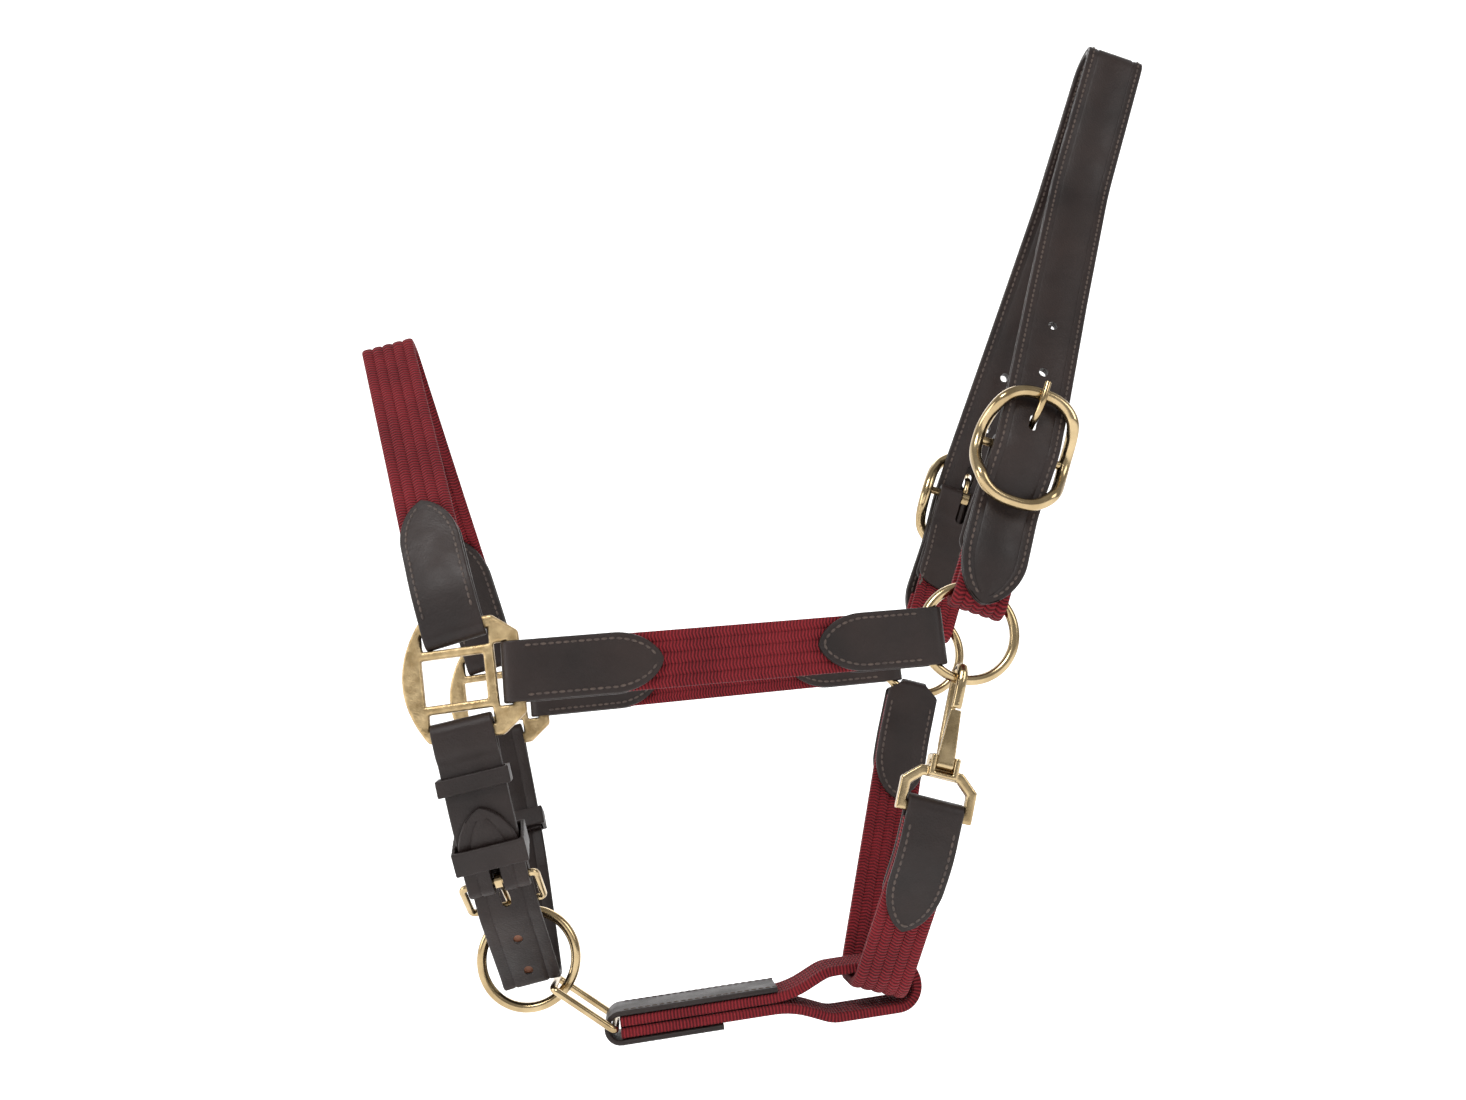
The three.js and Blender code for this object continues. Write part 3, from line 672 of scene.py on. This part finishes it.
def chape(name, plane, points, reach, width, tip, cap=None, section=leather_section):
    """A folded leather end with pointed legs, and stitches on them unless it is creased."""
    way = 1 if tip > points[0].x else -1
    line = trim(dense(fold(points, HALF_CORE + LEATHER / 2, reach + 12), 1.2), tip, way)
    ends = fine_ends(line)

    def half_at(i):
        wide = tip_half(width, abs(tip - ends[i].x))
        return min(wide, cap(ends[i].x)) if cap else wide

    mesh = sweep(plane, ends, half_at, LEATHER, section)
    folded = publish_leather(name, mesh)
    if section is creased_section:
        return folded

    def row_at(i):
        distance = abs(tip - ends[i].x)
        if distance < INSET or ends[i].x * way < points[0].x * way + ROW_START:
            return None
        return row_half(width, distance)

    middle = len(ends) // 2
    first = [i for i in range(middle) if row_at(i) is not None]
    second = [i for i in range(middle, len(ends)) if row_at(i) is not None]
    places = []
    for indices in (first, second):
        part = [ends[i] for i in indices]
        rows = [row_at(i) for i in indices]
        places += row_places(plane, part, lambda i, rows=rows: rows[i], -1, LEATHER)
    publish_stitches(name, places)
    return folded


def webbing(name, plane, points):
    mesh = sweep(plane, dense(points, 3), steady(WEBBING_WIDTH), WEBBING, webbing_section)
    publish(name, mesh, WEBBING_LOOK, "straps", [name])


def tube(points, radius, closed=False, sides=16):
    """A round wire along a line of places in metres."""
    vertices, faces = [], []
    count = len(points)
    lift = None
    for i, p in enumerate(points):
        a = points[i - 1] if closed or i else p
        b = points[(i + 1) % count] if closed or i < count - 1 else p
        along = (b - a).normalized()
        if lift is None:
            lift = along.orthogonal().normalized()
        lift = (lift - along * lift.dot(along)).normalized()
        side = along.cross(lift)
        for k in range(sides):
            turn = 2 * math.pi * k / sides
            vertices.append(p + (lift * math.cos(turn) + side * math.sin(turn)) * radius)
    # On a closed line the last ring meets the first one at the side nearest to it.
    shift = 0
    if closed:
        seam = vertices[(count - 1) * sides]
        shift = min(range(sides), key=lambda k: (vertices[k] - seam).length)
    for i in range(count if closed else count - 1):
        turn_on = shift if i == count - 1 else 0
        for k in range(sides):
            a, b = i * sides + k, i * sides + (k + 1) % sides
            c = ((i + 1) % count) * sides + (k + 1 + turn_on) % sides
            d = ((i + 1) % count) * sides + (k + turn_on) % sides
            faces.append((a, b, c, d))
    if not closed:
        faces.append(tuple(range(sides))[::-1])
        faces.append(tuple(range((count - 1) * sides, count * sides)))
    mesh = bpy.data.meshes.new("wire")
    mesh.from_pydata(vertices, [], faces)
    return face_out(mesh)


def smooth_line(points, steps=8):
    """A smooth line through given points."""
    line = []
    for i in range(len(points) - 1):
        p0, p1 = points[max(0, i - 1)], points[i]
        p2, p3 = points[i + 1], points[min(len(points) - 1, i + 2)]
        for k in range(steps):
            t = k / steps
            bend = (p0 * 2 - p1 * 5 + p2 * 4 - p3) * t * t
            twist = (p1 * 3 - p0 - p2 * 3 + p3) * t * t * t
            line.append((p1 * 2 + (p2 - p0) * t + bend + twist) * 0.5)
    return line + [points[-1]]


def cast(name, body, look, voxel, rounds, grow=0.0):
    """A cast or moulded copy of a CAD node: the same shape with its edges rounded over."""
    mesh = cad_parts[name].data.copy()
    mesh.materials.clear()
    piece = bpy.data.objects.new(name + "_soft", mesh)
    bpy.context.scene.collection.objects.link(piece)
    remesh = piece.modifiers.new("remesh", "REMESH")
    remesh.mode = "VOXEL"
    remesh.voxel_size = voxel
    soften = piece.modifiers.new("soften", "SMOOTH")
    soften.factor = 0.5
    soften.iterations = rounds
    swollen = piece.modifiers.new("grow", "DISPLACE")
    swollen.strength = grow
    swollen.mid_level = 0
    made = applied(piece)
    bpy.data.objects.remove(piece)
    return publish(name, made, look, body, [name])


# ---- crown ----
crown = plane_towards(Vector((0, 0)), math.radians(-108))
crown_side = [
    (CROWN_TIP, 55.9),
    (290, 55.9, 30),
    (262, 50, 22),
    (CROWN_BUCKLE, 57, 18),
    (208, 50, 22),
    (150, 32, 90),
    (80, 13, 90),
    (-LINING - 0.15, 9, 8.5),
]
crown_line = dense(route(sided(crown_side, -1) + crown_side[::-1]), 1.5)


HOLE_SIDES = 20


def punch(piece, plane, holes, low, high):
    """Real holes through a strap: (along, radius, stretch) each, between two depths."""
    work = bmesh.new()
    sides = HOLE_SIDES
    for along, radius, stretch in holes:
        ring = []
        for k in range(sides):
            turn = 2 * math.pi * (k + 0.5) / sides
            reach = radius * math.cos(turn) + math.copysign(stretch, math.cos(turn))
            ring.append((along + reach, radius * math.sin(turn)))
        bottom = [work.verts.new(plane.at(x, low, z)) for x, z in ring]
        top = [work.verts.new(plane.at(x, high, z)) for x, z in ring]
        work.faces.new(bottom)
        work.faces.new(top[::-1])
        for k in range(sides):
            following = (k + 1) % sides
            work.faces.new((bottom[k], top[k], top[following], bottom[following]))
    bmesh.ops.recalc_face_normals(work, faces=work.faces)
    mesh = bpy.data.meshes.new("punch")
    work.to_mesh(mesh)
    work.free()
    tool = bpy.data.objects.new("punch", mesh)
    bpy.context.scene.collection.objects.link(tool)
    change = piece.modifiers.new("punch", "BOOLEAN")
    change.operation = "DIFFERENCE"
    change.object = tool
    change.solver = "EXACT"
    made = applied(piece)
    piece.modifiers.clear()
    piece.data = made
    bpy.data.objects.remove(tool)
    shade(made)


def crown_layer(name, offset, face, tongue_slot):
    line = fine_ends(beside(crown_line, offset))

    def half_at(i):
        return tip_half(CROWN_WIDTH, CROWN_TIP - line[i].x, CROWN_POINT)

    piece = publish_leather(name, sweep(crown, line, half_at, LINING, creased_section))
    holes = [(along, CROWN_HOLE_RADIUS, 0) for along in CROWN_HOLES] + [tongue_slot]
    punch(piece, crown, holes, -PUNCH_OUTER, -PUNCH_INNER)
    punch(piece, crown, holes, PUNCH_INNER, PUNCH_OUTER)

    def row_at(i):
        distance = CROWN_TIP - line[i].x
        if distance < INSET + ROW_SPARE:
            return None
        return row_half(CROWN_WIDTH, distance, CROWN_POINT)

    publish_stitches(name, row_places(crown, line, row_at, face, LINING))


crown_step = (LINING + GAP) / 2
crown_layer("crown_strap", crown_step, 1, (CROWN_TONGUE_HOLE + 0.6, 1.9, 2.2))
crown_layer("crown_lining", -crown_step, -1, (CROWN_TONGUE_HOLE, 2.6, 4.6))


AXIS_X, AXIS_Z = Vector((1, 0, 0)), Vector((0, 0, 1))
LOOP_STEPS = 96
BAR_WIRE = 2 * MM
PRONG_WIRE = 1.5 * MM
COLLAR_HALF, COLLAR_RADIUS = 1.7, 3.95
PRONG = ((235, 52.4), (229, 50.8), (223.5, 52.4), (219.5, 57.6), (214, 61.4), (205, 62))


def swell(value):
    return math.copysign(abs(value) ** 0.8, value)


def cross_bar(y, half):
    """Three places across the strap on a crown buckle's bar."""
    return [crown.at(CROWN_BUCKLE, y * BUCKLE_BAR_Y, across) for across in (-half, 0, half)]


def crown_buckle(side, y):
    line = []
    for k in range(LOOP_STEPS):
        turn = 2 * math.pi * k / LOOP_STEPS
        part = min(1, abs(math.cos(turn)) / 0.7) ** 2
        bow = part * (2 - part)
        out = BUCKLE_BAR_Y + (BUCKLE_END_Y - BUCKLE_BAR_Y) * bow
        along = CROWN_BUCKLE + BUCKLE_LENGTH * swell(math.cos(turn))
        line.append(crown.at(along, y * out, -BUCKLE_WIDTH * swell(math.sin(turn))))
    body = f"{side}_crown_buckle"
    oval = tube(line, BUCKLE_WIRE * MM, True, 20)
    publish_wire(f"{side}_buckle_oval", oval, body, [body])
    publish_wire(f"{side}_buckle_bar", tube(cross_bar(y, BUCKLE_WIDTH), BAR_WIRE), body, [])
    points = smooth_line([crown.at(along, y * out) for along, out in PRONG])
    body = f"{side}_crown_tongue"
    publish_wire(f"{side}_tongue_prong", tube(points, PRONG_WIRE), body, [body])
    collar = tube(cross_bar(y, COLLAR_HALF), COLLAR_RADIUS * MM, sides=24)
    publish_wire(f"{side}_tongue_collar", collar, body, [])


def ring_mesh(centre):
    """A round ring of wire in the XZ plane, about a centre in millimetres."""
    line = []
    for k in range(LOOP_STEPS):
        turn = 2 * math.pi * k / LOOP_STEPS
        x, z = RING_RADIUS * math.cos(turn), RING_RADIUS * math.sin(turn)
        line.append((centre + AXIS_X * x + AXIS_Z * z) * MM)
    return tube(line, RING_SHOWN * MM, True, 24)


cheek_bar = SQUARE + turned(SQUARE_CHEEK_BAR, 0)
nose_bar = SQUARE + turned(0, SQUARE_BAR)
chin_bar = SQUARE + turned(0, -SQUARE_BAR)

BUCKLE_CHAPE_TIP, BUCKLE_CHAPE_POINT = 287, 8.0
# A punched slot is (along, radius, stretch); its depths are how far out the cut starts and ends.
BUCKLE_SLOT, BUCKLE_SLOT_DEPTHS = (CROWN_BUCKLE, 2.4, 12), (36, 56)
# The stitches lie on the lower leg: past this point along the strap, and no further out than this.
BUCKLE_CHAPE_ROWS = (246, 44)
BUCKLE_CHAPE = (
    (BUCKLE_CHAPE_TIP, 45.8),
    (258, 45.8, 12),
    (239, 51.6, 8),
    (231.6, 51.6, 3.39),
    (231.6, 44.8, 3.39),
    (249, 44.8, 15),
    (268, 38.6, 15),
    (BUCKLE_CHAPE_TIP, 38.6),
)
RING_WEBBING = (
    (290.5, 50.9),
    (308.9, 50.9, 4.89),
    (308.9, 41.1, 4.89),
    (297, 41.1, 20),
    (286, 42.2, 20),
    (273, 42.2),
)


def buckle_chape(side, y):
    """The short strap that holds a crown buckle, slotted for the tongue."""
    line = dense(route(sided(BUCKLE_CHAPE, y)), 1.2)
    wide = CROWN_WIDTH - 1.5
    name = f"{side}_buckle_chape"

    def half_at(i):
        return tip_half(wide, BUCKLE_CHAPE_TIP - line[i].x, BUCKLE_CHAPE_POINT)

    cover = publish_leather(name, sweep(crown, line, half_at, LEATHER, leather_section))
    low, high = sorted(y * depth for depth in BUCKLE_SLOT_DEPTHS)
    punch(cover, crown, [BUCKLE_SLOT], low, high)
    least_along, most_out = BUCKLE_CHAPE_ROWS
    leg = [p for p in line if p.x > least_along and abs(p.y) < most_out]
    places = []
    for face in (1, -1):
        places += row_places(crown, leg, lambda _: wide / 2 - INSET, face, LEATHER)
    publish_stitches(name, places)


for side, y in SIDES:
    crown_buckle(side, y)
    buckle_chape(side, y)
    webbing(f"{side}_ring_webbing", crown, route(sided(RING_WEBBING, y)))
    ring = ring_mesh(Vector((RING.x, y * RING_Y, RING.y)))
    publish_wire(f"{side}_ring", ring, f"{side}_cheek_ring", [f"{side}_cheek_ring"])
    cast(f"{side}_square", "straps", CAST_LOOK, 0.00045, 18, 0.0004)

    # Cheek strap, straight from the ring to the square.
    span = cheek_bar - RING
    lean = math.atan2(SQUARE_Y - RING_Y, span.length - RING_FOLD)
    base = plane_towards(RING, heading_of(RING, cheek_bar))
    u = base.u * math.cos(lean) + base.v * (y * math.sin(lean))
    v = base.v * math.cos(lean) - base.u * (y * math.sin(lean))
    shift = Vector((0, y * (RING_Y - RING_FOLD * math.tan(lean)), 0))
    cheek = Plane(base.origin + shift, u, v, base.w)
    long = span.length / math.cos(lean)
    deep = past(heading_of(RING, cheek_bar), SQUARE_TILT + math.pi)
    rear, middle = Vector((RING_FOLD, 0)), Vector((90, 0))
    front = Vector((long + deep, 0))
    chape(f"{side}_cheek_rear_chape", cheek, [rear, middle], 52, STRAP_WIDTH, 68)
    chape(f"{side}_cheek_front_chape", cheek, [front, middle], 64, STRAP_WIDTH, long - 60)
    webbing(f"{side}_cheek_webbing", cheek, [Vector((26, 0)), Vector((long - 7, 0))])

# ---- nose ----
nose_heading = heading_of(NOSE_TOP, nose_bar)
nose_length = (nose_bar - NOSE_TOP).length
nose = plane_towards(NOSE_TOP, nose_heading)
nose_side = [
    (nose_length + past(nose_heading, SQUARE_TILT + math.pi / 2), SQUARE_Y),
    (nose_length - 16, 60.6, 40),
    (75, 36, 130),
    (WEBBING / 2, 6.5, 5.5),
]
nose_line = route(sided(nose_side, -1) + nose_side[::-1])
webbing("nose_webbing", nose, trim(dense(nose_line, 1), nose_length - 6.5, 1))
for side, line in (("near", nose_line), ("far", nose_line[::-1])):
    chape(f"{side}_nose_chape", nose, line, 62, STRAP_WIDTH, nose_length - 58)

# ---- chin ----
chin_heading = heading_of(chin_bar, CHIN_BOTTOM)
chin_length = (CHIN_BOTTOM - chin_bar).length
chin = plane_towards(chin_bar, chin_heading)
chin_deep = past(chin_heading, SQUARE_TILT + math.pi / 2)
chin_centre = route([(-chin_deep, -SQUARE_Y), (33, -58, 60), (CHIN_HEEL[0], -CHIN_HEEL[1])])
upper = dense(start(chin_centre, 57), 1.5)
spread = HALF_CORE + LEATHER / 2
CLOSE_FROM, CLOSE_OVER = 7, 6


def closing(way):
    """How far each leg lies from the middle: wide at the bar, then closing on the other leg."""
    rest = LEATHER / 2 + GAP / 2

    def distance(length):
        blend = min(1, max(0, (length - CLOSE_FROM) / CLOSE_OVER))
        blend = blend * blend * (3 - 2 * blend)
        return way * (spread + (rest - spread) * blend)

    return distance


bar_fold = fold(start(chin_centre, 5), spread, 4)[1:-1]
legs = beside(upper, closing(1))[3:][::-1] + bar_fold + beside(upper, closing(-1))[3:]
legs_mesh = sweep(chin, legs, steady(STRAP_WIDTH), LEATHER, leather_section)
publish_leather("near_chin_strap", legs_mesh)
HEEL_SLOT, HEEL_SLOT_DEPTHS = (61, 2.2, 6), (-70, -30)
heel_line = chin_centre[::-1]
heel = chape("near_chin_chape", chin, heel_line, 34, STRAP_WIDTH, 30, section=creased_section)
punch(heel, chin, [HEEL_SLOT], *HEEL_SLOT_DEPTHS)

# The chin strap's pointed near end, and how far out it still counts as that end.
CHIN_TIP = 28
NEAR_END = -36
long_side = [
    (CHIN_TIP, -50.2),
    (40, -47.3, 40),
    (57.5, -40.6, 25),
    (74.2, -34.4, 20),
    (103, -8, 60),
    (chin_length - 1.4, -5.4, 5),
    (chin_length - 1.4, 5.4, 5),
    (100, 13, 60),
    (60, 47, 60),
    (33, 59.2, 60),
    (12, 63, 20),
    (3, 65.8, 6),
    (-HALF_CORE - LEATHER / 2 - chin_deep, 65.8, 3.8),
    (-HALF_CORE - LEATHER / 2 - chin_deep, 58.2, 3.8),
    (3, 58.2, 6),
    (14, 60.2, 20),
    (33, 56.3, 60),
    (46, 50.6),
]
chin_line = dense(route(long_side), 1.2)


def chin_half(i):
    if chin_line[i].y < NEAR_END:
        return tip_half(STRAP_WIDTH, chin_line[i].x - CHIN_TIP, CHIN_POINT)
    return STRAP_WIDTH / 2


chin_mesh = sweep(chin, chin_line, chin_half, LEATHER, creased_section)
long_strap = publish_leather("chin_strap", chin_mesh)
CHIN_HOLE_RADIUS = 2.0
CHIN_SLOT, CHIN_PUNCH_DEPTHS = (65, CHIN_HOLE_RADIUS, 5), (-70, -1)
chin_holes = [(along, CHIN_HOLE_RADIUS, 0) for along in CHIN_HOLES]
punch(long_strap, chin, chin_holes + [CHIN_SLOT], *CHIN_PUNCH_DEPTHS)

# Each spare hole shows a plug of paler leather, on the near half of the strap.
PLUG_RADIUS = 2.3
PLUG_DEPTHS = (0.2, 0.95)
near_half = [i for i, p in enumerate(chin_line) if p.y <= 0]
for spot in CHIN_HOLES:
    here = min(near_half, key=lambda i: abs(chin_line[i].x - spot))
    centre, ahead = chin_line[here], chin_line[here + 1]
    along = (ahead - centre).normalized()
    inner = Vector((-along.y, along.x)) * (LEATHER / 2)
    core = [chin.at(*(centre + inner * depth)) for depth in PLUG_DEPTHS]
    plug = tube(core, PLUG_RADIUS * MM, sides=24)
    publish(f"chin_hole_{spot}", plug, HOLE_LOOK, "straps", [])

for name in ("chin_fixed_keeper", "far_chin_keeper"):
    cast(name, "straps", LEATHER_LOOK, 0.0004, 5)
cast("chin_loop_keeper", "chin_loop_keeper", LEATHER_LOOK, 0.0004, 5)

# Chin buckle, its tongue and the chin ring, all of round wire.
CHIN_PRONG = ((60.6, -44.4), (62.6, -40.6), (65.6, -35.2), (68.6, -30.4), (70.6, -28.2))
CHIN_PRONG_WIRE = 1.1 * MM
CHIN_COLLAR_HALF, CHIN_COLLAR_RADIUS = 1.4, 3.15
CORNER_STEPS = 6


def rounded_loop(corners, radius):
    """A closed line through corners in metres, each one turned on a small curve."""
    line = []
    for i, p in enumerate(corners):
        before = (corners[i - 1] - p).normalized() * radius
        after = (corners[(i + 1) % len(corners)] - p).normalized() * radius
        for k in range(CORNER_STEPS + 1):
            t = k / CORNER_STEPS
            line.append(p + before * (1 - t) ** 2 + after * t**2)
    return line


frame_corners = [
    (CHIN_HEEL, -CHIN_BUCKLE_HALF),
    (CHIN_HEEL, CHIN_BUCKLE_HALF),
    (CHIN_END, CHIN_BUCKLE_HALF),
    (CHIN_END, -CHIN_BUCKLE_HALF),
]
buckle_line = rounded_loop([chin.at(p[0], -p[1], w) for p, w in frame_corners], 2.5 * MM)
chin_frame = tube(buckle_line, CHIN_WIRE * MM, True)
publish_wire("chin_buckle_frame", chin_frame, "straps", ["chin_buckle"])
prong_mesh = tube(smooth_line([chin.at(*p) for p in CHIN_PRONG]), CHIN_PRONG_WIRE)
publish_wire("chin_tongue_prong", prong_mesh, "chin_tongue", ["chin_tongue"])
collar_line = [
    chin.at(CHIN_HEEL[0], -CHIN_HEEL[1], w) for w in (-CHIN_COLLAR_HALF, 0, CHIN_COLLAR_HALF)
]
chin_collar = tube(collar_line, CHIN_COLLAR_RADIUS * MM, sides=24)
publish_wire("chin_tongue_collar", chin_collar, "chin_tongue", [])
publish_wire("chin_ring_wire", ring_mesh(chin.at(CHIN_RING, 0) / MM), "chin_ring", ["chin_ring"])

# ---- throat ----
throat_heading = heading_of(RING, THROAT_BOTTOM)
throat_length = (THROAT_BOTTOM - RING).length
throat = plane_towards(RING, throat_heading)
throat_base = throat_length - WEBBING / 2
throat_line = route(
    [
        (EYE_BAR - 0.6, -EYE_Y),
        (EYE_BAR + 18, -EYE_Y + 1.2, 30),
        (throat_base, -17, 12),
        (throat_base, 17, 12),
        (44, RING_Y - 0.6, 40),
        (RING_THROAT_FOLD, RING_Y),
    ]
)
total = sum((b - a).length for a, b in zip(throat_line, throat_line[1:]))
core = start(start(throat_line, total - 5)[::-1], total - 10)[::-1]
webbing("throat_webbing", throat, core)
chape("near_throat_chape", throat, throat_line, 56, WEBBING_WIDTH, 129)
NARROW_HALF, FULL_HALF = 6.2, 13
WIDEN_FROM, WIDEN_OVER = 16.6, 4.9


def narrow_end(along):
    """Half the far throat chape's width along it: narrow at the ring, then widening."""
    if along < WIDEN_FROM:
        return NARROW_HALF
    grown = NARROW_HALF + (along - WIDEN_FROM) * (FULL_HALF - NARROW_HALF) / WIDEN_OVER
    return min(FULL_HALF, grown)


chape("far_throat_chape", throat, throat_line[::-1], 58, WEBBING_WIDTH + 1, 74, cap=narrow_end)

# ---- snap ----
cast("snap_body", "straps", BRASS_LOOK, 0.00035, 16, 0.00025)
cast("snap_gate", "snap_gate", BRASS_LOOK, 0.0003, 8, 0.0001)
cast("snap_gate_pin", "straps", BRASS_LOOK, 0.0002, 3)

# ---- jaw ----
way = (JAW_END - JAW_LOOP).normalized()
jaw = Plane(
    Vector((JAW_LOOP.x, 0, JAW_LOOP.y)),
    Vector((way.x, 0, way.y)),
    Vector((way.y, 0, -way.x)),
    Vector((0, 1, 0)),
)
layer = (WEBBING + GAP) / 2
loop_side = [(JAW_FOLD, layer), (34, layer, 40), (17, 9.7, 16), (-22, 9.7, 9.5)]
webbing("jaw_webbing", jaw, route(loop_side + sided(loop_side, -1)[::-1]))
jaw_half = WEBBING + GAP / 2 + GAP + LEATHER / 2
jaw_fold = dense(fold([Vector((JAW_FOLD, 0)), Vector((0, 0))], jaw_half, *JAW_LEGS), 1.5)
jaw_mesh = sweep(jaw, jaw_fold, steady(JAW_WIDTH), LEATHER, leather_section)
publish_leather("jaw_chape", jaw_mesh)
jaw_places = []
for way_out in (-1, 1):
    leg = [p for p in jaw_fold if p.y * way_out > jaw_half - 0.05]
    jaw_places += row_places(jaw, leg, lambda _: JAW_WIDTH / 2 - INSET, -1, LEATHER)
publish_stitches("jaw_chape", jaw_places)

# ---- link between the jaw strap and the chin ring ----
link_left = chin.at(CHIN_RING + 13, 0, 9)
link_right = jaw.at(JAW_BAR, 0)
half_link = Vector((0, LINK_HALF * MM, 0))
link_corners = [
    link_left - half_link,
    link_left + half_link,
    link_right + half_link,
    link_right - half_link,
]
link_mesh = tube(rounded_loop(link_corners, 3 * MM), LINK_WIRE * MM, True)
publish_wire("link_wire", link_mesh, "jaw_link", ["jaw_link"])
